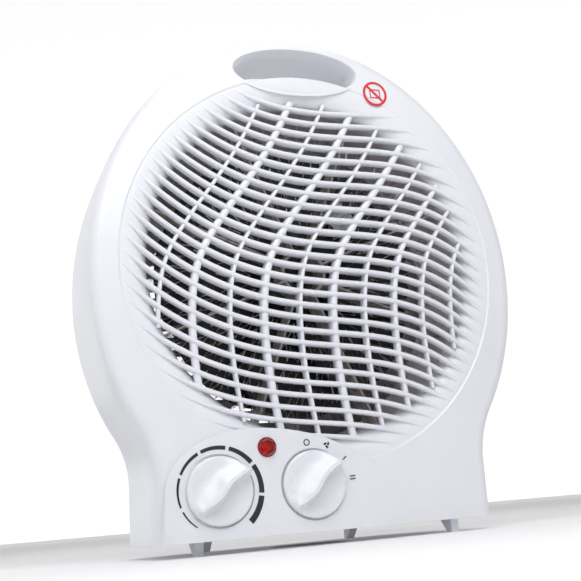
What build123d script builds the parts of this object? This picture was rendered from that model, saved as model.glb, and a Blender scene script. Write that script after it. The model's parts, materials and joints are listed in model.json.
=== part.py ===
"""Upright fan convector heater. Millimetres, +Z up, front towards -Y, floor at Z = 0.
The origin is on the floor under the middle of the heater's bounding box."""
from build123d import *
from math import cos, sin, pi, radians, sqrt, tan
import os

os.makedirs("parts", exist_ok=True)

# ---- housing outline, seen from the front
HALF_W = 113.0          # half width of the round body
DISC_Z = 131.0          # height of the widest point
DISC_RISE = 126.0       # height from the widest point to the top
BASE_Z = 6.4            # underside of the housing
BASE_HALF = 88.0        # half width at the base
NECK_Z = 62.0           # where the base block runs into the round body
NECK_HALF = 86.0
NECK_BLEND = 46.0       # concave blend between round body and base
WALL = 2.4
# ---- housing depth
FACE_Y = -45.5          # front of the gently domed face
FACE_R = 1300.0         # radius of that dome
PART_Y = -27.5          # joint between front and rear shell
BACK_Y = 53.8           # back of the base
BACK_R = 470.0          # curvature of the back
BACK_TOP_Y = -4.0       # back at the very top
DRAFT = 3.0
RIM_R = 6.0             # rounding of the front rim
BACK_RIM_R = 27.0       # rounding of the back rim
# ---- grille
GRILLE_Z = 136.0
OPEN_R = 84.5           # opening in the funnel
FUNNEL_R = 99.5         # where the funnel meets the face
OPEN_Y = -33.5          # depth of the opening's edge
FIN_PITCH = 6.42
FIN_TOP = 211.3
FIN_COUNT = 26
FIN_W = 2.2
FIN_BACK = -38.5        # flat back of the fins and uprights
# ---- control panel
PANEL_Y = -45.0
PANEL_X = -33.0
PANEL_R = 500.0
KNOB_Z = 28.6
THERMO_X = -59.0
SWITCH_X = -12.2
KNOB_R = 15.8
THERMO_POINTER, SWITCH_POINTER = 26.0, 30.0     # degrees above +X at rest
KNOB_FRONT = -54.3
KNOB_GAP = 1.0
RECESS = 1.6
LAMP_X, LAMP_Z, LAMP_R = -34.5, 47.2, 4.5
# ---- handle hole
HOLE_X, HOLE_Z, HOLE_A, HOLE_B = -0.5, 239.6, 34.0, 11.8
# ---- fan, heater and motor
DUCT_R = 86.5
FAN_R = 74.0
FAN_Y = -4.0
FIT = 0.3               # gap between curved faces of different bodies


def front(y, x=0.0, z=0.0):
    """A sketch plane facing the front at depth y: local x is +X, local y is +Z."""
    return Plane(origin=(x, y, z), x_dir=(1, 0, 0), z_dir=(0, -1, 0))


def outline(y, inset, shrink=0.0):
    """The housing outline at depth y: a round body blended into a straight-sided base."""
    side = inset + shrink
    with BuildSketch(front(y)) as shape:
        with Locations((0, DISC_Z)):
            Ellipse(HALF_W - side, DISC_RISE - side)
        with Locations((0, NECK_Z - 20 + 150)):
            Rectangle(300, 300, mode=Mode.INTERSECT)
        with BuildLine():
            Polyline((-BASE_HALF + side, BASE_Z + inset), (BASE_HALF - side, BASE_Z + inset),
                     (NECK_HALF - side, NECK_Z), (side - NECK_HALF, NECK_Z), close=True)
        make_face()
        necks = [v for v in shape.vertices() if 46 < v.Y < 60 and abs(v.X) > NECK_HALF - side - 2]
        fillet(necks, NECK_BLEND)
    return shape.sketch


def housing(inset, rim_r, back_r):
    """The closed housing volume, every face moved inwards by inset."""
    with BuildPart() as solid:
        seam = outline(PART_Y, inset).face()
        extrude(to_extrude=seam, amount=34, dir=(0, -1, 0))
        loft([seam, outline(PART_Y + 105, inset, 105 * tan(radians(DRAFT))).face()], ruled=True)
        with BuildSketch(Plane.YZ) as side:
            with BuildLine():
                top = (BACK_TOP_Y - inset, DISC_Z + DISC_RISE + 4)
                low = (BACK_Y - inset, BASE_Z)
                RadiusArc(low, top, -BACK_R)
                Polyline(top, (-90, top[1]), (-90, 0), (low[0], 0), low)
            make_face()
        extrude(amount=150, both=True, mode=Mode.INTERSECT)
        with Locations((0, FACE_Y + inset + FACE_R, DISC_Z + 6)):
            Sphere(FACE_R, mode=Mode.INTERSECT)
        fillet(rim_edges(solid, True), rim_r)
        fillet(rim_edges(solid, False), back_r)
    return solid.part


def rim_edges(solid, at_front):
    """The edges round the front (or back) face, leaving out the flat underside."""
    pick = []
    for e in solid.edges():
        box = e.bounding_box()
        depth = box.min.Y < PART_Y - 2 and box.max.Y < PART_Y - 2 if at_front else box.min.Y > PART_Y + 5
        flat = box.max.Z - box.min.Z < 0.5 and box.max.Z < BASE_Z + 4
        if depth and not flat:
            pick.append(e)
    return pick


outer = housing(0, RIM_R, BACK_RIM_R)
inner = housing(WALL, RIM_R - WALL, BACK_RIM_R - WALL)


def spun(points):
    """A solid of revolution about the grille axis from (radius, depth) points."""
    with BuildPart() as ring:
        with BuildSketch(Plane.XY.offset(GRILLE_Z)):
            with BuildLine():
                Polyline(*points, close=True)
            make_face()
        revolve(axis=Axis((0, 0, GRILLE_Z), (0, 1, 0)))
    return ring.part.rotate(Axis((0, 0, GRILLE_Z), (0, 1, 0)), 37)    # keeps its seam clear of other edges


def rod(x, z, y0, y1, r):
    """A plain cylinder along Y between two depths."""
    with BuildPart() as bar:
        with BuildSketch(front(max(y0, y1))):
            with Locations((x, z)):
                Circle(r)
        extrude(amount=abs(y1 - y0))
    return bar.part


def face_skin(lift, depth):
    """A thin layer over the domed face, from lift in front of it to depth behind it."""
    with BuildPart() as skin:
        with Locations((0, FACE_Y - lift + FACE_R, DISC_Z + 6)):
            Sphere(FACE_R)
        with Locations((0, FACE_Y + depth + FACE_R, DISC_Z + 6)):
            Sphere(FACE_R, mode=Mode.SUBTRACT)
        with Locations((0, FACE_Y, DISC_Z)):
            Box(260, 60, 300, mode=Mode.INTERSECT)
    return skin.part


def panel_skin(lift, depth):
    """The same for the slightly curved control panel."""
    with BuildPart() as skin:
        with Locations((PANEL_X, PANEL_Y - lift + PANEL_R, 0)):
            Cylinder(PANEL_R, 200)
        with Locations((PANEL_X, PANEL_Y + depth + PANEL_R, 0)):
            Cylinder(PANEL_R, 220, mode=Mode.SUBTRACT)
        with Locations((0, PANEL_Y, 50)):
            Box(240, 60, 120, mode=Mode.INTERSECT)
    return skin.part


def panel_pad(inset, back):
    """The raised control panel: an arched plateau that runs out into the face on the right."""
    with BuildPart() as pad:
        with BuildSketch(front(back)):
            with BuildLine():
                low, left = BASE_Z + inset, -86.0 + inset
                Polyline((86.0 - inset, low + 0.2), (86.0 - inset, low), (left, low), (left + 2, 30))
                Spline((left + 2, 30), (-75.0 + inset, 46 - inset), (-58, 54.5 - inset), (-40, 56.5 - inset),
                       (-5, 50.5 - inset), (30, 34 - inset), (62, 14 - inset / 2), (86.0 - inset, low + 0.2),
                       tangents=((0.1, 1), (1, -0.15)))
            make_face()
        extrude(amount=back - PANEL_Y + 8)
        with Locations((PANEL_X, PANEL_Y + inset + PANEL_R, 0)):
            Cylinder(PANEL_R, 200, mode=Mode.INTERSECT)
    return pad.part


# ---- front shell: domed face, funnel round the opening, control panel, front half of the handle
front_zone = Pos(0, PART_Y - 50, 130) * Box(300, 100, 320)
slope = (FUNNEL_R - OPEN_R) / (OPEN_Y - (FACE_Y + FUNNEL_R ** 2 / 2 / FACE_R))
knob_spots = ((THERMO_X, KNOB_Z), (SWITCH_X, KNOB_Z))
boss_spots = ((-92, 185), (92, 185), (-76, 26), (76, 26))
with BuildPart() as hole:
    with BuildSketch(front(70)):
        with Locations((HOLE_X, HOLE_Z)):
            Ellipse(HOLE_A, HOLE_B)
    extrude(amount=140)
    for y, grow in ((-39.5, 0.0), (-41.0, 0.5), (-42.5, 1.4), (-44.0, 2.6)):
        with BuildSketch(front(y)):
            with Locations((HOLE_X, HOLE_Z)):
                Ellipse(HOLE_A + grow, HOLE_B + grow)
    loft()
with BuildPart() as hole_wall:
    with BuildSketch(front(70)):
        with Locations((HOLE_X, HOLE_Z)):
            Ellipse(HOLE_A + WALL, HOLE_B + WALL)
    extrude(amount=140)
tube = hole_wall.part & outer

with BuildPart() as front_shell:
    add(outer & front_zone)
    add(inner & front_zone, mode=Mode.SUBTRACT)
    add(spun([(OPEN_R - 2, OPEN_Y + 3), (OPEN_R + 2.5, OPEN_Y + 3), (FUNNEL_R + 3, OPEN_Y - 5),
              (FUNNEL_R - 3, OPEN_Y - 8), (OPEN_R - 2, OPEN_Y - 3)]))
    add(spun([(0, OPEN_Y + 5), (OPEN_R, OPEN_Y + 5), (OPEN_R, OPEN_Y),
              (OPEN_R + slope * 16, OPEN_Y - 16), (0, OPEN_Y - 16)]), mode=Mode.SUBTRACT)
    add(panel_pad(0, -33) & front_zone)
    add(panel_pad(WALL, -32.9) - spun([(0, -20), (OPEN_R + 3, -20), (OPEN_R + 3, OPEN_Y + 3),
                                       (OPEN_R + 3 + slope * 9, OPEN_Y - 6), (0, OPEN_Y - 6)]), mode=Mode.SUBTRACT)
    add(tube & front_zone)
    add(hole.part, mode=Mode.SUBTRACT)
    for x, z in knob_spots:
        add(rod(x, z, PANEL_Y - 6, PANEL_Y + RECESS, KNOB_R + KNOB_GAP), mode=Mode.SUBTRACT)
        add((rod(x, z, PANEL_Y + RECESS - 1, PANEL_Y + RECESS + 1.6, KNOB_R + 3.4) - rod(
            x, z, PANEL_Y - 6, PANEL_Y + RECESS, KNOB_R + KNOB_GAP)) & panel_pad(0.6, -33))
        add(rod(x, z, PANEL_Y - 6, PANEL_Y + 12, 3.4), mode=Mode.SUBTRACT)
    add(rod(LAMP_X, LAMP_Z, PANEL_Y - 6, PANEL_Y + 12, LAMP_R + 0.1), mode=Mode.SUBTRACT)
    for (x, z), reach in zip(boss_spots, (-40.4, -40.4, -42.0, -37.6)):
        add(rod(x, z, PART_Y, reach, 4.0))
        add(rod(x, z, PART_Y, PART_Y - 7, 1.3), mode=Mode.SUBTRACT)

# ---- grille: wavy fins flush with the face and curved uprights behind them
with BuildPart() as lattice_work:
    with BuildSketch(front(FIN_BACK)) as lattice:
        for n in range(-1, FIN_COUNT):
            z0 = FIN_TOP - FIN_PITCH * n
            bow = 0.065 * (z0 - 70)
            upper, lower = [], []
            for k in range(13):
                u = -1.98 + 3.96 * k / 12
                z = z0 - 4.8 * u + bow * u ** 2 - 4.6 * u ** 3 - 0.6 * u ** 4
                lean = FIN_W / 2 * sqrt(1 + ((-4.8 + 2 * bow * u - 13.8 * u ** 2 - 2.4 * u ** 3) / 50) ** 2)
                upper.append((50 * u, z + lean))
                lower.append((50 * u, z - lean))
            with BuildLine():
                a, b = Spline(*upper), Spline(*lower)
                Line(a @ 0, b @ 0)
                Line(a @ 1, b @ 1)
            make_face()
        with Locations((0, GRILLE_Z)):
            Circle(FUNNEL_R - 0.5, mode=Mode.INTERSECT)
    extrude(amount=FIN_BACK - FACE_Y + 2)
    with Locations((0, FACE_Y + FACE_R, DISC_Z + 6)):
        Sphere(FACE_R, mode=Mode.INTERSECT)
    with BuildSketch(front(FIN_BACK)) as uprights:
        for x0, width in ((-81, 1.8), (-64.5, 3.6), (-46, 1.8), (-28.5, 3.6), (-10, 1.8), (8, 3.6), (25, 1.8),
                          (42, 2.6), (58, 1.8), (75, 1.8)):
            sway = ((30, 10), (55, 4), (85, 0), (110, -0.5), (130, 2), (145, 7.5), (162, 19), (180, 33),
                    (200, 47), (230, 64))
            left = [(x0 + dx - width / 2, z) for z, dx in sway]
            right = [(x0 + dx + width / 2, z) for z, dx in sway]
            with BuildLine():
                a, b = Spline(*left), Spline(*right)
                Line(a @ 0, b @ 0)
                Line(a @ 1, b @ 1)
            make_face()
        with Locations((0, GRILLE_Z)):
            Circle(OPEN_R + 3.0, mode=Mode.INTERSECT)
    extrude(amount=FIN_BACK - FACE_Y - 3.2)
    add(spun([(OPEN_R, OPEN_Y + 9), (OPEN_R, OPEN_Y), (OPEN_R + slope * 14, OPEN_Y - 14), (130, OPEN_Y - 14),
              (130, OPEN_Y + 9)]), mode=Mode.SUBTRACT)
    add(panel_pad(-0.02, -30), mode=Mode.SUBTRACT)
with BuildPart() as front_grille:
    add(max(lattice_work.solids(), key=lambda piece: piece.volume))

# ---- rear shell: back half with slotted intake, base plate, motor stand-offs and screw pillars
back_zone = Pos(0, PART_Y + FIT / 3 + 100, 130) * Box(300, 200, 320)
back_room = Pos(0, PART_Y + 99, 130) * Box(300, 202, 320)
GLAND_X, GLAND_Z = 62.0, 22.0
with BuildPart() as slots:
    with BuildSketch(front(75)):
        for row in range(-9, 10):
            z = 7.0 * row
            reach = sqrt(68.0 ** 2 - z ** 2)
            for x0, x1 in ((-reach, -22), (-19, 19), (22, reach)):
                if x1 - x0 > 8:
                    with Locations(((x0 + x1) / 2, 132 + z)):
                        SlotOverall(x1 - x0, 3.4)
    extrude(amount=60)
with BuildPart() as rear_shell:
    add(outer & back_zone)
    add(inner & back_room, mode=Mode.SUBTRACT)
    add(tube & back_zone)
    add(hole.part, mode=Mode.SUBTRACT)
    add(slots.part, mode=Mode.SUBTRACT)
    for x, z in boss_spots:
        add(rod(x, z, PART_Y + FIT / 3, 60, 4.5) & outer)
        add(rod(x, z, PART_Y - 1, PART_Y + 22, 1.7), mode=Mode.SUBTRACT)
        add(rod(x, z, PART_Y + 22, 80, 3.6), mode=Mode.SUBTRACT)
    add(rod(GLAND_X, GLAND_Z, 40, 80, 6.0), mode=Mode.SUBTRACT)
    add(rod(GLAND_X, GLAND_Z, BACK_Y - 1.0, 80, 7.8), mode=Mode.SUBTRACT)

# ---- feet: four tapered pegs under the base
FOOT_W, FOOT_TOP, FOOT_TIP = 4.2, 11.0, 4.5


def foot(x, y, inward):
    """A peg with one upright face at depth y and one slanted face towards the middle of the base."""
    with BuildPart() as peg:
        with BuildSketch(Plane.YZ.offset(x)):
            with BuildLine():
                Polyline((y, 0), (y + inward * FOOT_TIP, 0), (y + inward * FOOT_TOP, BASE_Z), (y, BASE_Z), close=True)
            make_face()
        extrude(amount=FOOT_W / 2, both=True)
        fillet(peg.edges().filter_by(Axis.Z), 0.6)
    return peg.part


def knob(x, turn):
    """A dished knob with an S-shaped grip; turn is the pointer's angle."""
    base = PANEL_Y + RECESS - 0.3
    with BuildPart() as disc:
        add(rod(0, 0, base, PANEL_Y - 1.0, KNOB_R))
        fillet(disc.edges().filter_by(GeomType.CIRCLE).group_by(Axis.Y)[0], 0.8)
        with BuildSketch(front(PANEL_Y - 0.4)):
            with BuildLine():
                a = Spline((-15, -1.5), (-8, 0.4), (0, 2.0), (8, 3.2), (16.6, 0.6))
                b = Spline((-15, -5.0), (-8, -5.4), (0, -3.6), (8, -1.2), (16.6, -1.0))
                Line(a @ 0, b @ 0)
                Line(a @ 1, b @ 1)
            make_face()
        extrude(amount=12.0)
        with Locations((0, KNOB_FRONT + 90, 0)):
            Sphere(90, mode=Mode.INTERSECT)
        with BuildSketch(front(base)):
            Circle(2.6)
        extrude(amount=5, mode=Mode.SUBTRACT)
    return Pos(x, 0, KNOB_Z) * Rot(0, -turn, 0) * disc.part


def spindle(x):
    """The D-flatted shaft a knob turns, running into its control body."""
    with BuildPart() as shaft:
        add(rod(0, 0, PANEL_Y + 9.9, PANEL_Y - 2.4, 2.5))
        with Locations((0, PANEL_Y, 2.6)):
            Box(6, 6.2, 1.4, mode=Mode.SUBTRACT)
    return Pos(x, 0, KNOB_Z) * shaft.part


def ring_piece(x, z, r0, r1, a0, a1):
    """An arc-shaped patch between two radii, narrowing or widening along the arc."""
    steps = 8
    rim = []
    for k in range(steps + 1):
        a = radians(a0 + (a1 - a0) * k / steps)
        rim.append((x + r1(a) * cos(a), z + r1(a) * sin(a)))
    core = [(x + r0 * cos(radians(a0 + (a1 - a0) * k / steps)), z + r0 * sin(radians(a0 + (a1 - a0) * k / steps)))
            for k in range(steps, -1, -1)]
    with BuildSketch(front(PANEL_Y + 12)) as patch:
        with BuildLine():
            a, b = Spline(*rim), Spline(*core)
            Line(a @ 1, b @ 0)
            Line(b @ 1, a @ 0)
        make_face()
    return patch.sketch


INK, LIFT = 0.15, 0.04    # thickness of the printed marks, and their gap to the surface
DIAL_R = 1.2 * KNOB_R


def swell(angle):
    return DIAL_R + 0.5 + 2.4 * (radians(234) - angle) / radians(281)


with BuildPart() as thermostat_dial_marks:
    for a0, a1 in ((234, 205), (199, 159), (154, 117.5), (113, 78), (73, 37), (32, -6), (-10, -47)):
        extrude(to_extrude=ring_piece(THERMO_X, KNOB_Z, DIAL_R, swell, a0, a1).face(), amount=24, dir=(0, -1, 0))
    add(panel_skin(INK + LIFT, -LIFT), mode=Mode.INTERSECT)


def dial_spot(angle, reach):
    """A point round the switch knob."""
    return SWITCH_X + reach * cos(radians(angle)), KNOB_Z + reach * sin(radians(angle))


with BuildPart() as switch_marks:
    with BuildSketch(front(PANEL_Y + 12)):
        with Locations(dial_spot(96, 19.8)):
            Circle(1.6)
            Circle(1.15, mode=Mode.SUBTRACT)
        for blade in range(3):
            turn = 120 * blade + 30
            with Locations((dial_spot(65, 19.9)[0] + 0.95 * cos(radians(turn)),
                            dial_spot(65, 19.9)[1] + 0.95 * sin(radians(turn)))):
                Ellipse(0.85, 0.5, rotation=turn + 50)
        with Locations(dial_spot(33, 20.4)):
            Rectangle(3.0, 0.5, rotation=40)
        for shift in (-0.7, 0.7):
            with Locations((dial_spot(5, 20.8)[0], dial_spot(5, 20.8)[1] + shift)):
                Rectangle(3.0, 0.55, rotation=5)
    extrude(amount=24)
    add(panel_skin(INK + LIFT, -LIFT), mode=Mode.INTERSECT)
with BuildPart() as caution_mark:
    with BuildSketch(front(FACE_Y + 12)):
        with Locations((43.4, 229.6)):
            Circle(7.0)
            Circle(5.7, mode=Mode.SUBTRACT)
            Rectangle(12.4, 1.3, rotation=-45)
            Rectangle(6.2, 5.2)
            Rectangle(5.0, 4.0, mode=Mode.SUBTRACT)
            Rectangle(12.4, 1.3, rotation=-45)
    extrude(amount=24)
    add(face_skin(INK + LIFT, -LIFT), mode=Mode.INTERSECT)

# ---- indicator lamp
with BuildPart() as indicator_lens:
    add(rod(LAMP_X, LAMP_Z, PANEL_Y + 3.5, PANEL_Y - 0.6, LAMP_R))
    with BuildSketch(front(PANEL_Y - 0.6)):
        with Locations((LAMP_X, LAMP_Z)):
            RegularPolygon(LAMP_R - 0.1, 8)
    extrude(amount=1.8, taper=30)
    add(rod(LAMP_X, LAMP_Z, PANEL_Y + 5, PANEL_Y + 3.5, LAMP_R + 1.4))
    add(rod(LAMP_X, LAMP_Z, PANEL_Y + 5.1, PANEL_Y + 1.6, LAMP_R - 1.4), mode=Mode.SUBTRACT)
with BuildPart() as neon_lamp:
    add(rod(LAMP_X, LAMP_Z, PANEL_Y + 13, PANEL_Y + 2.6, 2.2))
    fillet(neon_lamp.edges().group_by(Axis.Y)[0], 1.6)

# ---- controls behind the panel
with BuildPart() as thermostat_body:
    with Locations((THERMO_X, PANEL_Y + 17.5, KNOB_Z)):
        Box(24, 14, 24)
    with Locations((THERMO_X, PANEL_Y + 26.0, KNOB_Z + 4)):
        Box(18, 3, 10)
    fillet(thermostat_body.edges().filter_by(Axis.Y), 2)
    add(rod(THERMO_X, KNOB_Z, PANEL_Y + 10.6, PANEL_Y + RECESS + 1.7, 6.0))
    add(rod(THERMO_X, KNOB_Z, PANEL_Y + 10.2, PANEL_Y, 2.56), mode=Mode.SUBTRACT)
with BuildPart() as switch_body:
    with Locations((SWITCH_X, PANEL_Y + 19.5, KNOB_Z)):
        Box(28, 18, 22)
    fillet(switch_body.edges().filter_by(Axis.Y), 2)
    for dx in (-9, -3, 3, 9):
        with Locations((SWITCH_X + dx, PANEL_Y + 31, KNOB_Z - 4)):
            Box(3, 7, 0.8)
    add(rod(SWITCH_X, KNOB_Z, PANEL_Y + 10.6, PANEL_Y + RECESS + 1.7, 6.0))
    add(rod(SWITCH_X, KNOB_Z, PANEL_Y + 10.2, PANEL_Y, 2.56), mode=Mode.SUBTRACT)
with BuildPart() as terminal_block:
    with Locations((40, 12, BASE_Z + WALL + 6)):
        Box(34, 16, 12)
    fillet(terminal_block.edges().filter_by(Axis.Z), 1.5)
    for k in range(4):
        with Locations((28 + 8 * k, 12, BASE_Z + WALL + 12)):
            Box(5.6, 12, 5, mode=Mode.SUBTRACT)

# ---- air path: duct, heater, fan and motor, all on the grille axis
with BuildPart() as air_duct:
    add(rod(0, GRILLE_Z, OPEN_Y + 3, 8.0, DUCT_R + 1.4))
    add(rod(0, GRILLE_Z, OPEN_Y, 9.0, DUCT_R), mode=Mode.SUBTRACT)
RIBS = 8
with BuildPart() as heater_frame:
    with Locations((0, -19.5, GRILLE_Z)):
        for k in range(RIBS):
            with Locations(Rotation(0, 360 / RIBS * k + 22.5, 0)):
                with Locations((DUCT_R / 2 + 5, 0, 0)):
                    Box(DUCT_R - 10.2, 13, 1.0)
    add(rod(0, GRILLE_Z, -26, -13, 12))
    add(rod(0, GRILLE_Z, -27, -12, 10.5), mode=Mode.SUBTRACT)


def wave_ring(radius, swing, teeth, y, width, thick):
    """A corrugated ribbon bent round the grille axis."""
    def star(r):
        return [((r + (swing if k % 2 else -swing)) * cos(pi * k / teeth),
                 (r + (swing if k % 2 else -swing)) * sin(pi * k / teeth)) for k in range(2 * teeth)]
    with BuildPart() as ribbon:
        with BuildSketch(front(y + width, 0, GRILLE_Z)):
            Polygon(*star(radius + thick / 2), align=None)
            Polygon(*star(radius - thick / 2), align=None, mode=Mode.SUBTRACT)
        extrude(amount=width)
    return ribbon.part


with BuildPart() as heating_wire:
    for radius, swing, teeth in ((75, 4.2, 72), (59, 4.2, 56), (43, 4.2, 40), (27, 4.2, 26)):
        add(wave_ring(radius, swing, teeth, -20.5, 2.6, 0.7))
with BuildPart() as thermal_cutout:
    add(rod(30, 168, -12.8, -9.6, 7))
    with Locations((30, -11.2, 178)):
        Box(4, 1, 8)
with BuildPart() as fan_impeller:
    add(rod(0, GRILLE_Z, FAN_Y + 9, FAN_Y - 5, 15))
    fillet(fan_impeller.edges().filter_by(GeomType.CIRCLE).group_by(Axis.Y)[0], 3)
    for k in range(7):
        spoke = Plane(origin=(13.5 * cos(2 * pi * k / 7), FAN_Y + 2, GRILLE_Z + 13.5 * sin(2 * pi * k / 7)),
                      x_dir=(0, 1, 0), z_dir=(cos(2 * pi * k / 7), 0, sin(2 * pi * k / 7)))
        with BuildSketch(spoke):
            with BuildLine():
                a = ThreePointArc((-6.4, -9.0), (1.4, -1.0), (6.4, 9.5))
                b = ThreePointArc((-5.4, -9.8), (3.0, -2.0), (6.9, 8.4))
                Line(a @ 0, b @ 0)
                Line(a @ 1, b @ 1)
            make_face()
        extrude(amount=FAN_R - 13.5)
    add(rod(0, GRILLE_Z, FAN_Y - 4, FAN_Y + 10, 1.55), mode=Mode.SUBTRACT)
with BuildPart() as motor_shaft:
    add(rod(0, GRILLE_Z, FAN_Y - 3, 34, 1.5))
with BuildPart() as motor_body:
    add(rod(0, GRILLE_Z, 12.0, 31.0, 21))
    fillet(motor_body.edges().filter_by(GeomType.CIRCLE), 3)
    add(rod(0, GRILLE_Z, 8.6, 12.5, 6))
    add(rod(0, GRILLE_Z, 8, 40, 1.56), mode=Mode.SUBTRACT)
with BuildPart() as motor_bracket:
    add(rod(0, GRILLE_Z, 9.6, 12.0, 20))
    for angle, reach in ((28, 99.2), (152, 99.2), (270, GRILLE_Z - BASE_Z - WALL)):
        with Locations(Location((0, 10.8, GRILLE_Z), (0, -angle, 0))):
            with Locations(((14 + reach) / 2, 0, 0)):
                Box(reach - 14, 2.4, 9)
    add(rod(0, GRILLE_Z, 8, 14, 6.3), mode=Mode.SUBTRACT)
    add(rod(0, GRILLE_Z, 9.6, 8.0, DUCT_R + 1.4) - rod(0, GRILLE_Z, 12, 7, DUCT_R - 2))

# ---- fasteners and cord inlet
with BuildPart() as shell_screws:
    for x, z in boss_spots:
        add(rod(x, z, PART_Y + 24.6, PART_Y + 22.2, 3.2))
        add(rod(x, z, PART_Y + 22.4, PART_Y - 6, 1.25))
        add(rod(x, z, PART_Y + 25, PART_Y + 23.4, 1.2), mode=Mode.SUBTRACT)
with BuildPart() as cord_inlet_bush:
    add(rod(GLAND_X, GLAND_Z, BACK_Y - 7.4, BACK_Y + 0.5, 5.8))
    add(rod(GLAND_X, GLAND_Z, BACK_Y - 0.9, BACK_Y + 0.5, 7.6))
    add(rod(GLAND_X, GLAND_Z, 40, 60, 3.4), mode=Mode.SUBTRACT)

with BuildPart() as front_left_foot:
    add(foot(-67, -33, 1))
with BuildPart() as front_right_foot:
    add(foot(67, -33, 1))
with BuildPart() as rear_left_foot:
    add(foot(-42, 46, -1))
with BuildPart() as rear_right_foot:
    add(foot(42, 46, -1))
with BuildPart() as thermostat_knob:
    add(knob(THERMO_X, THERMO_POINTER))
with BuildPart() as switch_knob:
    add(knob(SWITCH_X, SWITCH_POINTER))
with BuildPart() as thermostat_spindle:
    add(spindle(THERMO_X))
with BuildPart() as switch_spindle:
    add(spindle(SWITCH_X))

pieces = {
    "front_shell": front_shell, "front_grille": front_grille, "rear_shell": rear_shell,
    "front_left_foot": front_left_foot, "front_right_foot": front_right_foot,
    "rear_left_foot": rear_left_foot, "rear_right_foot": rear_right_foot, "thermostat_knob": thermostat_knob,
    "switch_knob": switch_knob, "thermostat_spindle": thermostat_spindle, "switch_spindle": switch_spindle,
    "thermostat_dial_marks": thermostat_dial_marks, "switch_marks": switch_marks, "caution_mark": caution_mark,
    "indicator_lens": indicator_lens, "neon_lamp": neon_lamp, "thermostat_body": thermostat_body,
    "switch_body": switch_body, "terminal_block": terminal_block, "air_duct": air_duct,
    "heater_frame": heater_frame, "heating_wire": heating_wire, "thermal_cutout": thermal_cutout,
    "fan_impeller": fan_impeller, "motor_shaft": motor_shaft, "motor_body": motor_body,
    "motor_bracket": motor_bracket, "shell_screws": shell_screws, "cord_inlet_bush": cord_inlet_bush,
}
for name, piece in pieces.items():
    piece.part.label = name
    export_step(piece.part, f"parts/{name}.step")
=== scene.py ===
"""Looks of the upright fan heater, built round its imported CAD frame. Metres, +Z up, front towards -Y."""
import json
import math
import random

import bmesh
import bpy
from mathutils import Matrix, Vector


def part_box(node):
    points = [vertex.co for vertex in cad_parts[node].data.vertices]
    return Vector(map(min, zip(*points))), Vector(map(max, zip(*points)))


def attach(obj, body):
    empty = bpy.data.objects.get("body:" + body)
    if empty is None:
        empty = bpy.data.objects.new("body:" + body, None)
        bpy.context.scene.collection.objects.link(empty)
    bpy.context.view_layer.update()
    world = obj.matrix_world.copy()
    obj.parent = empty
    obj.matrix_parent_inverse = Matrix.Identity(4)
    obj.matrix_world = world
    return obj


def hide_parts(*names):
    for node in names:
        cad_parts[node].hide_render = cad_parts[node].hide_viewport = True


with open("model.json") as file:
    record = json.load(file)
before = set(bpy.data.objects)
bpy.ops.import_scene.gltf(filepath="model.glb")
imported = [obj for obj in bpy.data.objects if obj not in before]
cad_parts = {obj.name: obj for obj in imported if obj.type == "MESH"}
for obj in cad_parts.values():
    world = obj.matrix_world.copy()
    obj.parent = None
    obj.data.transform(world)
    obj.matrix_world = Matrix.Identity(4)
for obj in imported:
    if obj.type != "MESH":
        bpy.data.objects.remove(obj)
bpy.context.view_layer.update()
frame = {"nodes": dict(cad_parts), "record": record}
random.seed(7)
SCENE = bpy.context.scene

# ---------------------------------------------------------------- materials


class Shade:
    """A principled material under construction, with short helpers for its procedural nodes."""

    def __init__(self, name):
        self.material = bpy.data.materials.new(name)
        self.material.use_nodes = True
        self.tree = self.material.node_tree
        self.shader = self.tree.nodes["Principled BSDF"]
        self.place = self.node("ShaderNodeTexCoord").outputs["Object"]

    def node(self, kind, **values):
        made = self.tree.nodes.new(kind)
        for key, value in values.items():
            if key in made.inputs:
                made.inputs[key].default_value = value
            else:
                setattr(made, key, value)
        return made

    def link(self, a, b):
        self.tree.links.new(a, b)

    def noise(self, scale, detail=3.0, stretch=(1, 1, 1)):
        mapping = self.node("ShaderNodeMapping")
        mapping.inputs["Scale"].default_value = stretch
        self.link(self.place, mapping.inputs["Vector"])
        texture = self.node("ShaderNodeTexNoise", Scale=scale, Detail=detail)
        self.link(mapping.outputs["Vector"], texture.inputs["Vector"])
        return texture.outputs["Fac"]

    def ramp(self, source, low, high, start=0.35, stop=0.65):
        """Maps a value to a blend of two colours."""
        ramp = self.node("ShaderNodeValToRGB")
        ramp.color_ramp.elements[0].position, ramp.color_ramp.elements[1].position = start, stop
        ramp.color_ramp.elements[0].color = (*low, 1)
        ramp.color_ramp.elements[1].color = (*high, 1)
        self.link(source, ramp.inputs["Fac"])
        return ramp.outputs["Color"]

    def colour(self, low, high, scale, stretch=(1, 1, 1)):
        mottled = self.ramp(self.noise(scale, 4.0, stretch), low, high)
        self.link(mottled, self.shader.inputs["Base Color"])

    def rough(self, low, high, scale, stretch=(1, 1, 1)):
        spread = self.node("ShaderNodeMapRange")
        spread.inputs["To Min"].default_value = low
        spread.inputs["To Max"].default_value = high
        self.link(self.noise(scale, 3.0, stretch), spread.inputs["Value"])
        self.link(spread.outputs["Result"], self.shader.inputs["Roughness"])

    def bump(self, scale, height, stretch=(1, 1, 1), edge=0.0):
        bump = self.node("ShaderNodeBump", Strength=1.0, Distance=height)
        self.link(self.noise(scale, 2.0, stretch), bump.inputs["Height"])
        if edge:
            bevel = self.node("ShaderNodeBevel", Radius=edge)
            bevel.samples = 4
            self.link(bevel.outputs["Normal"], bump.inputs["Normal"])
        self.link(bump.outputs["Normal"], self.shader.inputs["Normal"])

    def set(self, **values):
        for key, value in values.items():
            self.shader.inputs[key.replace("_", " ")].default_value = value
        return self.material


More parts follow.
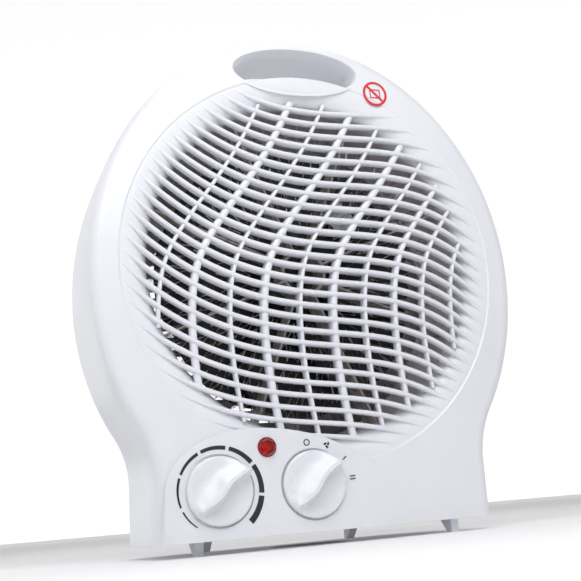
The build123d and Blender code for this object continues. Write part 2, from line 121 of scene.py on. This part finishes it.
def moulded(name, low, high, rough, grain, edge=0.0004, **extra):
    """Moulded plastic: faint flow marks in the colour, uneven gloss and a fine orange-peel surface."""
    shade = Shade(name)
    shade.colour(low, high, 14.0)
    shade.rough(rough - 0.05, rough + 0.06, 60.0)
    shade.bump(420.0, grain, edge=edge)
    return shade.set(**extra)


def metal(name, low, high, rough, stretch, scale=90.0, grain=0.00004):
    """Drawn or rolled metal: streaks along one direction and patchy oxide."""
    shade = Shade(name)
    shade.colour(low, high, scale, stretch)
    shade.rough(rough - 0.08, rough + 0.12, scale * 2, stretch)
    shade.bump(scale * 6, grain, stretch)
    return shade.set(Metallic=1.0)


WHITE_LOW, WHITE_HIGH = (0.80, 0.81, 0.86), (0.84, 0.85, 0.89)
MATERIALS = {
    "housing_plastic": moulded("white_housing_plastic", WHITE_LOW, WHITE_HIGH, 0.30, 0.00002,
                               Coat_Weight=0.25, Coat_Roughness=0.18),
    "foot_plastic": moulded("grey_white_foot_plastic", (0.66, 0.67, 0.72), (0.73, 0.74, 0.79), 0.42, 0.00004),
    "knob_plastic": moulded("white_knob_plastic", (0.80, 0.81, 0.87), (0.85, 0.86, 0.90), 0.27, 0.000015,
                            Coat_Weight=0.3, Coat_Roughness=0.15),
    "spindle_plastic": moulded("cream_spindle_plastic", (0.55, 0.52, 0.45), (0.63, 0.60, 0.53), 0.5, 0.00004),
    "dial_print": moulded("black_dial_ink", (0.012, 0.012, 0.016), (0.03, 0.03, 0.036), 0.45, 0.00001, 0),
    "caution_print": moulded("red_caution_ink", (0.62, 0.02, 0.035), (0.74, 0.05, 0.06), 0.42, 0.00001, 0),
    "control_plastic": moulded("dark_control_plastic", (0.03, 0.03, 0.032), (0.055, 0.055, 0.06), 0.5, 0.00006),
    "duct_plastic": moulded("pale_duct_plastic", (0.76, 0.66, 0.68), (0.86, 0.77, 0.79), 0.4, 0.00006),
    "fan_plastic": moulded("dark_fan_plastic", (0.022, 0.022, 0.026), (0.038, 0.038, 0.042), 0.42, 0.00005),
    "bush_rubber": moulded("black_bush_rubber", (0.02, 0.02, 0.021), (0.04, 0.04, 0.041), 0.65, 0.00008),
    "bracket_steel": moulded("white_painted_bracket", (0.72, 0.72, 0.75), (0.82, 0.82, 0.84), 0.38, 0.00005),
    "heating_alloy": metal("heating_ribbon_alloy", (0.42, 0.36, 0.34), (0.86, 0.80, 0.77), 0.32, (1, 1, 1), 120.0),
    "cutout_metal": metal("cutout_aluminium", (0.62, 0.62, 0.63), (0.80, 0.80, 0.81), 0.35, (1, 6, 1)),
    "shaft_steel": metal("ground_shaft_steel", (0.58, 0.58, 0.60), (0.75, 0.75, 0.77), 0.25, (1, 8, 1)),
    "motor_steel": metal("zinc_motor_steel", (0.42, 0.43, 0.46), (0.66, 0.67, 0.70), 0.38, (1, 1, 1), 45.0),
    "screw_steel": metal("zinc_screw_steel", (0.45, 0.45, 0.47), (0.68, 0.68, 0.70), 0.34, (1, 1, 6)),
}


def mica():
    """Layered mica board: mottled silvery flakes with bright specks."""
    shade = Shade("mica_board")
    cells = shade.node("ShaderNodeTexVoronoi", Scale=260.0)
    shade.link(shade.place, cells.inputs["Vector"])
    flakes = shade.ramp(cells.outputs["Distance"], (0.42, 0.37, 0.34), (0.68, 0.63, 0.60), 0.1, 0.8)
    shade.link(flakes, shade.shader.inputs["Base Color"])
    shade.rough(0.28, 0.55, 200.0)
    shade.bump(300.0, 0.0001)
    return shade.set(Coat_Weight=0.3)


def red_lens():
    """Clear red moulding that lets the lamp behind it show through."""
    shade = Shade("clear_red_lens")
    shade.colour((0.30, 0.002, 0.006), (0.72, 0.02, 0.03), 420.0)
    shade.rough(0.05, 0.14, 120.0)
    shade.bump(300.0, 0.00003)
    return shade.set(Transmission_Weight=0.75, IOR=1.5)


def lamp_glass():
    """The small gas-filled bulb behind the lens, glowing faintly."""
    shade = Shade("neon_bulb_glass")
    shade.colour((0.85, 0.42, 0.30), (0.95, 0.62, 0.48), 180.0)
    shade.rough(0.05, 0.12, 90.0)
    return shade.set(Transmission_Weight=0.5, IOR=1.45, Emission_Color=(1.0, 0.16, 0.08, 1), Emission_Strength=0.5)


MATERIALS["mica"] = mica()
MATERIALS["lens_red"] = red_lens()
MATERIALS["lamp_glass"] = lamp_glass()

for part in frame["record"]["subparts"]:
    cad = frame["nodes"][part["node"]]
    cad.data.materials.clear()
    cad.data.materials.append(MATERIALS[part["material_slot"]])

# ---------------------------------------------------------------- helpers for meshes

MM = 0.001


def smooth(t):
    """Soft step from 0 to 1."""
    t = min(max(t, 0.0), 1.0)
    return t * t * (3 - 2 * t)


def join_rings(made, rings, loop=False):
    """Faces between each closed ring and the next; with loop, the last one meets the first."""
    for a, b in zip(rings, rings[1:] + (rings[:1] if loop else [])):
        for k in range(len(a)):
            n = (k + 1) % len(a)
            made.faces.new((a[k], b[k], b[n], a[n]))


def finished(name, made, body, slot, *replaced):
    """Turns a bmesh into a piece riding on a body, with its slot's material."""
    bmesh.ops.recalc_face_normals(made, faces=made.faces)
    mesh = bpy.data.meshes.new(name)
    made.to_mesh(mesh)
    made.free()
    piece = bpy.data.objects.new(name, mesh)
    SCENE.collection.objects.link(piece)
    mesh.materials.append(MATERIALS[slot])
    mesh.shade_smooth()
    mesh.set_sharp_from_angle(angle=math.radians(40))
    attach(piece, body)
    if replaced:
        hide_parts(*replaced)
    return piece


# ---------------------------------------------------------------- grille with rounded fins

HUB_Z = 0.5 * sum(corner.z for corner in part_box("air_duct"))      # height of the grille axis
FACE_R, FACE_Z = 1300 * MM, 137 * MM                              # dome of the face: radius, height of its middle
FACE_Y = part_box("front_shell")[0].y
FIN_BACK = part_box("front_grille")[1].y
OPEN_R, OPEN_Y = 84.5 * MM, -33.5 * MM                            # the opening's radius and front edge
FUNNEL_R, CONE = 99.5 * MM, 1.831                                 # the funnel's mouth, and its run over its drop
PANEL_EDGE = ((-86, 30), (-75, 46), (-58, 54.5), (-40, 56.5), (-5, 50.5), (30, 34), (62, 14), (86, 6))
FIN_HALF, FIN_SPAN, FIN_STEPS = 1.1 * MM, 1.98, 160               # half thickness; reach in units of 50 mm
UPRIGHTS = ((-81, 1.8), (-64.5, 3.6), (-46, 1.8), (-28.5, 3.6), (-10, 1.8), (8, 3.6), (25, 1.8), (42, 2.6),
            (58, 1.8), (75, 1.8))                                 # place and width, mm
UPRIGHT_SINK = 0.9 * MM                                           # how far the uprights lie behind the face
SWAY = ((30, 10), (55, 4), (85, 0), (110, -0.5), (130, 2), (145, 7.5), (162, 19), (180, 33), (200, 47), (230, 64))


def face_depth(x, z):
    """Y of the domed face in front of a point."""
    return FACE_Y + FACE_R - math.sqrt(FACE_R ** 2 - x ** 2 - (z - FACE_Z) ** 2)


def cone_depth(x, z):
    """Y of the funnel's straight wall."""
    return OPEN_Y - (math.hypot(x, z - HUB_Z) - OPEN_R) / CONE


def fin_root(x, z):
    """Y where a fin ends: just inside the funnel's wall, or at its flat back inside the opening."""
    return min(FIN_BACK, cone_depth(x, z) + 0.5 * MM)


def arch_height(x):
    """Upper edge of the control panel, a little inside its rim."""
    for (x0, z0), (x1, z1) in zip(PANEL_EDGE, PANEL_EDGE[1:]):
        if x0 * MM <= x <= x1 * MM:
            return (z0 + (z1 - z0) * (x / MM - x0) / (x1 - x0) - 1.5) * MM
    return 0.0


def clear_of_panel(radius):
    """A test for points within radius of the grille's axis and above the control panel."""
    return lambda x, z: math.hypot(x, z - HUB_Z) < radius and z > arch_height(x)


def stretches(points, keep):
    """The runs of successive points for which keep(x, z) holds."""
    run = []
    for point in points:
        if keep(*point):
            run.append(point)
        elif run:
            yield run
            run = []
    if run:
        yield run


def bar_mesh(made, path, half, top, back):
    """A closed bar along path with a rounded front; top and back give its depth at a point."""
    rings = []
    for k, (x, z) in enumerate(path):
        ahead, behind = path[min(k + 1, len(path) - 1)], path[max(k - 1, 0)]
        dx, dz = ahead[0] - behind[0], ahead[1] - behind[1]
        size = math.hypot(dx, dz)
        nx, nz = -dz / size, dx / size
        front = top(x, z)
        rear = max(back(x, z), front + 0.35 * MM)
        crown = min(half, (rear - front) * 0.8)
        arc = [math.pi * step / 6 for step in range(7)]
        ring = [(-half, rear)] + [(-half * math.cos(a), front + crown * (1 - math.sin(a))) for a in arc]
        ring.append((half, rear))
        rings.append([made.verts.new((x + nx * s, y, z + nz * s)) for s, y in ring])
    join_rings(made, rings)
    made.faces.new(rings[0])
    made.faces.new(list(reversed(rings[-1])))


def fin_height(n, u):
    """Height of fin n, counted from the top, at u times 50 mm to the right."""
    z0 = 211.3 - 6.42 * n
    return (z0 - 4.8 * u + 0.065 * (z0 - 70) * u ** 2 - 4.6 * u ** 3 - 0.6 * u ** 4) * MM


def fins():
    """Wavy fins that run out into the funnel on both sides."""
    made = bmesh.new()
    across = [-FIN_SPAN + 2 * FIN_SPAN * k / FIN_STEPS for k in range(FIN_STEPS + 1)]
    for n in range(-1, 26):
        wave = [(50 * u * MM, fin_height(n, u)) for u in across]
        for run in stretches(wave, clear_of_panel(FUNNEL_R - 0.6 * MM)):
            if len(run) > 3:
                bar_mesh(made, run, FIN_HALF, face_depth, fin_root)
    finished("grille_fins", made, "housing", "housing_plastic", "front_grille")


def sway(z):
    """Sideways drift of the uprights with height: a smooth curve through a few points."""
    last = len(SWAY) - 1
    k = next((k for k in range(last) if z <= SWAY[k + 1][0]), last - 1)
    (z0, x0), (z1, x1) = SWAY[k], SWAY[k + 1]
    before, after = SWAY[max(k - 1, 0)], SWAY[min(k + 2, last)]
    m0 = (x1 - before[1]) / (z1 - before[0]) * (z1 - z0)
    m1 = (after[1] - x0) / (after[0] - z0) * (z1 - z0)
    t = (z - z0) / (z1 - z0)
    return ((2 * t ** 3 - 3 * t ** 2 + 1) * x0 + (t ** 3 - 2 * t ** 2 + t) * m0
            + (3 * t ** 2 - 2 * t ** 3) * x1 + (t ** 3 - t ** 2) * m1)


def uprights():
    """Swaying uprights behind the fins' fronts, thick and thin in turn."""
    made = bmesh.new()
    for x0, width in UPRIGHTS:
        path = [((x0 + sway(z)) * MM, z * MM) for z in range(46, 226, 2)]
        for run in stretches(path, clear_of_panel(OPEN_R + 3 * MM)):
            bar_mesh(made, run, width / 2 * MM, lambda x, z: face_depth(x, z) + UPRIGHT_SINK,
                     lambda x, z: FIN_BACK)
    finished("grille_uprights", made, "housing", "housing_plastic", "front_grille")


def funnel_lip():
    """Rounds the funnel's edge, so that the fins rise out of the face little by little."""
    made = bmesh.new()
    around, steps, back_step = 240, 24, 6
    outer, roundness = FUNNEL_R + 0.4 * MM, 0.985
    rings = []
    for j in range(around):
        a = 2 * math.pi * j / around

        def spot(k):
            r = outer + (OPEN_R - outer) * k / steps
            return r * math.cos(a), HUB_Z + r * math.sin(a)

        ring = []
        for k in range(steps + 1):
            x, z = spot(k)
            surface = face_depth(x, z)
            fall = 1 - math.sqrt(1 - (roundness * k / steps) ** 2)
            ring.append((x, surface + 0.03 * MM + (OPEN_Y - surface) * fall, z))
        for k in range(steps, 0, -back_step):
            x, z = spot(k)
            ring.append((x, max(cone_depth(x, z), ring[k][1]) + 0.4 * MM, z))
        rings.append([made.verts.new(place) for place in ring])
    join_rings(made, rings, loop=True)
    finished("grille_funnel_lip", made, "housing", "housing_plastic")


# ---------------------------------------------------------------- heating wire and fan

WIRE_R, WIRE_SWING, WIRE_PITCH = 0.3, 4.4, 2.3     # mm: half thickness, half a stroke's length, stroke spacing


def zigzag_ring(made, radius, y0, y1):
    """A fine zigzag of resistance wire round the axis, with strokes that lean to and fro in depth."""
    strokes = 2 * int(math.pi * radius / WIRE_PITCH)
    path = []
    for k in range(strokes):
        side = 1 if k % 2 else -1
        for part, swing in ((0.0, WIRE_SWING * side), (0.5, 0.0)):
            a = 2 * math.pi * (k + part) / strokes
            reach = radius + swing + random.uniform(-0.25, 0.25)
            depth = y0 + (y1 - y0) * (0.5 + 0.5 * math.sin(k * 2.4 + part)) + random.uniform(-0.2, 0.2)
            path.append(Vector((reach * math.cos(a), depth, reach * math.sin(a))))
    rings = []
    for k, point in enumerate(path):
        along = (path[(k + 1) % len(path)] - path[k - 1]).normalized()
        across = along.cross(Vector((0, 1, 0))).normalized()
        third = along.cross(across)
        rings.append([made.verts.new((point + WIRE_R * (math.cos(t) * across + math.sin(t) * third)) * MM
                                     + Vector((0, 0, HUB_Z))) for t in (0, 1.57, 3.14, 4.71)])
    join_rings(made, rings, loop=True)


def heating_coils():
    """Five zigzag rings in front of the mica star."""
    made = bmesh.new()
    low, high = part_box("heating_wire")
    for radius in (75, 64, 53, 42, 31):
        zigzag_ring(made, radius, low.y / MM - 2.6, high.y / MM + 2.0)
    finished("zigzag_heating_wire", made, "housing", "heating_alloy", "heating_wire")


BLADES, BLADE_ACROSS, BLADE_ALONG = 7, 14, 12      # number of blades; cells over a blade and out along it
BLADE_ROOT, BLADE_THICK = 12.0 * MM, 0.9 * MM


def blade_side(made, start, offset, reach, middle, swing):
    """One face of a cambered, twisted blade, as rows of vertices from hub to tip."""
    rows = []
    for i in range(BLADE_ALONG + 1):
        f = i / BLADE_ALONG
        r = BLADE_ROOT + (reach - BLADE_ROOT) * f
        lean = start + 0.35 * f * f
        spread = 2 * math.pi / BLADES * (1.16 + 0.10 * math.sin(math.pi * f))
        row = []
        for k in range(BLADE_ACROSS + 1):
            u = k / BLADE_ACROSS
            a = lean + spread * (u - 0.5)
            pitch = 0.86 * swing * (0.95 - 0.35 * f) * (2 * u - 1)
            camber = 0.9 * MM * math.sin(math.pi * u)
            rounded = r * (1 - 0.06 * smooth((f - 0.82) / 0.18) * abs(2 * u - 1) ** 3)
            row.append(made.verts.new((rounded * math.cos(a), middle + pitch + camber + offset,
                                       HUB_Z + rounded * math.sin(a))))
        rows.append(row)
    return rows


def fan():
    """Seven broad overlapping blades on a domed hub."""
    made = bmesh.new()
    low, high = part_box("fan_impeller")
    reach = 0.5 * (high.x - low.x)
    near, deep = low.y, high.y
    middle, swing = 0.5 * (near + deep), 0.5 * (deep - near)
    rim = ([(0, k) for k in range(BLADE_ACROSS)] + [(i, BLADE_ACROSS) for i in range(BLADE_ALONG)]
           + [(BLADE_ALONG, k) for k in range(BLADE_ACROSS, 0, -1)] + [(i, 0) for i in range(BLADE_ALONG, 0, -1)])
    for blade in range(BLADES):
        start = 2 * math.pi * blade / BLADES
        front, back = (blade_side(made, start, offset, reach, middle, swing)
                       for offset in (-BLADE_THICK / 2, BLADE_THICK / 2))
        for rows in (front, back):
            for i in range(BLADE_ALONG):
                for k in range(BLADE_ACROSS):
                    made.faces.new((rows[i][k], rows[i + 1][k], rows[i + 1][k + 1], rows[i][k + 1]))
        for (i, k), (m, n) in zip(rim, rim[1:] + rim[:1]):
            made.faces.new((front[i][k], front[m][n], back[m][n], back[i][k]))
    hub = ((1.55, deep), (15.0, deep), (15.2, deep - 1 * MM), (15.2, near + 5 * MM), (14.2, near + 2.4 * MM),
           (11.5, near + 0.9 * MM), (7.5, near + 0.25 * MM), (3.0, near + 0.1 * MM), (1.9, near + 0.6 * MM),
           (1.55, near + 1.0 * MM))                # radius in mm and depth, from the bore's back to its front
    turns = [2 * math.pi * j / 48 for j in range(48)]
    join_rings(made, [[made.verts.new((r * MM * math.cos(a), y, HUB_Z + r * MM * math.sin(a))) for a in turns]
                      for r, y in hub], loop=True)
    finished("sculpted_fan", made, "fan", "fan_plastic", "fan_impeller")


# ---------------------------------------------------------------- knobs with a sculpted grip

KNOB_R = 15.8                                      # mm
KNOB_LIFT = 2.3 * MM                               # the knob's floor over the back of its CAD solid
KNOB_Z = 28.6 * MM


def knob_height(p, q):
    """Height of the knob's face, mm: an S-shaped flank, a narrow crest and a long hollow behind it."""
    edge = -3.6 + 2.7 * math.tanh((p - 1) / 5)
    r = math.hypot(p, q)
    ridge = 9.0 - 5.0 * smooth((-p - 1) / 14) - 1.2 * smooth((p - 6) / 10)
    flank = smooth((q - edge) / 3.6)
    behind = min(max((q - edge - 2.6) / 12.5, 0.0), 1.0)
    crest = 0.35 * smooth((q - edge - 2.4) / 1.6)
    hollow = (1 - behind) ** 2.1 - crest * (1 - behind) ** 4
    ends = 1 - smooth((r - 13.2) / 2.8) * smooth((6 - p) / 8)
    rim = 0.45 * smooth((r - 14.9) / 0.9)
    return 0.7 * smooth((r - 9) / 6) - rim + ridge * flank * hollow * ends


def sculpted_knob(node, body, knob_x, angle):
    """A knob whose pointer stands at angle, with a small beak that overhangs the rim there."""
    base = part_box(node)[1].y
    floor = base - KNOB_LIFT
    turn = math.radians(angle)
    made = bmesh.new()
    rings, around = 64, 240
    turns = [2 * math.pi * j / around for j in range(around)]

    def put(p, q, y):
        x = (knob_x + p * math.cos(turn) - q * math.sin(turn)) * MM
        z = KNOB_Z + (p * math.sin(turn) + q * math.cos(turn)) * MM
        return made.verts.new((x, y, z))

    rows = []
    for i in range(1, rings + 1):
        row = []
        for a in turns:
            beak = 0.9 * math.exp(-(((a - 2 * math.pi if a > math.pi else a) - 0.05) / 0.1) ** 2)
            r = (KNOB_R + beak) * i / rings
            p, q = r * math.cos(a), r * math.sin(a)
            row.append((p, q, floor - knob_height(p, q) * MM))
        rows.append(row)
    outer = rows[-1]
    for drop in (0.6, 1.4):
        rows.append([(p, q, min(y + drop * MM, floor + 1.2 * MM)) for p, q, y in outer])
    for depth in (floor + 1.6 * MM, base):
        rows.append([(KNOB_R * math.cos(a), KNOB_R * math.sin(a), depth) for a in turns])
    centre = put(0, 0, floor - knob_height(0, 0) * MM)
    verts = [[put(*spot) for spot in row] for row in rows]
    for j in range(around):
        made.faces.new((centre, verts[0][j], verts[0][(j + 1) % around]))
    join_rings(made, verts)
    made.faces.new(verts[-1])
    finished("sculpted_" + node, made, body, "knob_plastic", node)


fins()
uprights()
funnel_lip()
heating_coils()
fan()
sculpted_knob("thermostat_knob", "thermostat_control", -59.0, 26.0)
sculpted_knob("switch_knob", "switch_control", -12.2, 30.0)

# ---------------------------------------------------------------- studio

STAGE = (("pale_floor", 0.07), ("pale_backdrop", 0.58), ("pale_front_wall", 0.05))   # each with its glow
FLOOR_SLOT, BACK_SLOT, FRONT_SLOT = range(3)
STAGE_TONE = 0.92


def stage_material(name, glow):
    """Matt near-white, glowing faintly so that it stays pale."""
    shade = Shade(name)
    shade.colour((STAGE_TONE - 0.01,) * 3, (STAGE_TONE,) * 3, 2.0)
    shade.rough(0.75, 0.85, 5.0)
    return shade.set(Emission_Color=(1, 1, 1, 1), Emission_Strength=glow)


def sweep():
    """Round pale floor that curves up into a wall on all sides, brightest behind the object."""
    floor_r, bend, wall_top, around = 3.0, 1.0, 3.4, 96
    arc = [math.pi / 24 * k for k in range(1, 13)]
    profile = [(0.02, 0.0), (1.0, 0.0), (floor_r, 0.0)]
    profile += [(floor_r + bend * math.sin(a), bend * (1 - math.cos(a))) for a in arc]
    profile.append((floor_r + bend, wall_top))
    turns = [2 * math.pi * j / around for j in range(around)]
    made = bmesh.new()
    rings = [[made.verts.new((r * math.cos(a), r * math.sin(a), z)) for a in turns] for r, z in profile]
    made.faces.new(rings[0])
    join_rings(made, rings)
    bmesh.ops.reverse_faces(made, faces=list(made.faces)[1:])
    for face in made.faces:
        middle = face.calc_center_median()
        if middle.z > 0.005:
            face.material_index = BACK_SLOT if middle.y > 0.5 else FRONT_SLOT
        else:
            face.material_index = FLOOR_SLOT
    mesh = bpy.data.meshes.new("studio_sweep")
    made.to_mesh(mesh)
    made.free()
    mesh.shade_smooth()
    piece = bpy.data.objects.new("studio_sweep", mesh)
    SCENE.collection.objects.link(piece)
    for name, glow in STAGE:
        mesh.materials.append(stage_material(name, glow))


def area(name, spot, aim, size, power, tint=(1, 1, 1)):
    """A rectangular area lamp at spot, facing aim."""
    lamp = bpy.data.lights.new(name, "AREA")
    lamp.shape = "RECTANGLE"
    lamp.size, lamp.size_y = size
    lamp.energy = power
    lamp.color = tint
    holder = bpy.data.objects.new(name, lamp)
    holder.location = spot
    holder.rotation_euler = (Vector(aim) - Vector(spot)).to_track_quat("-Z", "Y").to_euler()
    SCENE.collection.objects.link(holder)


def studio():
    """Soft light from above, a weak fill from the right and a faint sky."""
    sweep()
    world = bpy.data.worlds.new("studio_world")
    world.use_nodes = True
    sky = world.node_tree.nodes["Background"].inputs
    sky["Color"].default_value = (0.93, 0.94, 1.0, 1)
    sky["Strength"].default_value = 0.15
    SCENE.world = world
    middle = (0, 0, 0.14)
    area("key_above", (-0.15, -0.42, 0.52), middle, (0.50, 0.40), 2.5)
    area("fill_right", (0.9, -0.8, 0.45), middle, (0.6, 0.8), 0.3, (0.95, 0.95, 1.0))
    area("top_soft", (0.1, 0.3, 1.1), middle, (0.9, 0.7), 2.5)


def camera():
    """A long-lens view from low on the left, a little above the floor."""
    yaw, pitch, roll = 0.38159, 0.20281, -0.08724
    ahead = Vector((math.sin(yaw) * math.cos(pitch), math.cos(yaw) * math.cos(pitch), math.sin(pitch)))
    level = Vector((math.cos(yaw), -math.sin(yaw), 0))
    up = level.cross(ahead)
    right = math.cos(roll) * level + math.sin(roll) * up
    above = -math.sin(roll) * level + math.cos(roll) * up
    data = bpy.data.cameras.new("photo_camera")
    data.sensor_width = 36.0
    data.lens = 68.16
    data.clip_start = 0.02
    holder = bpy.data.objects.new("photo_camera", data)
    turn = Matrix((right, above, -ahead)).transposed()
    holder.matrix_world = Matrix.Translation((-0.21186, -0.53364, 0.01401)) @ turn.to_4x4()
    SCENE.collection.objects.link(holder)
    SCENE.camera = holder


studio()
camera()
SCENE.view_settings.view_transform = "Standard"
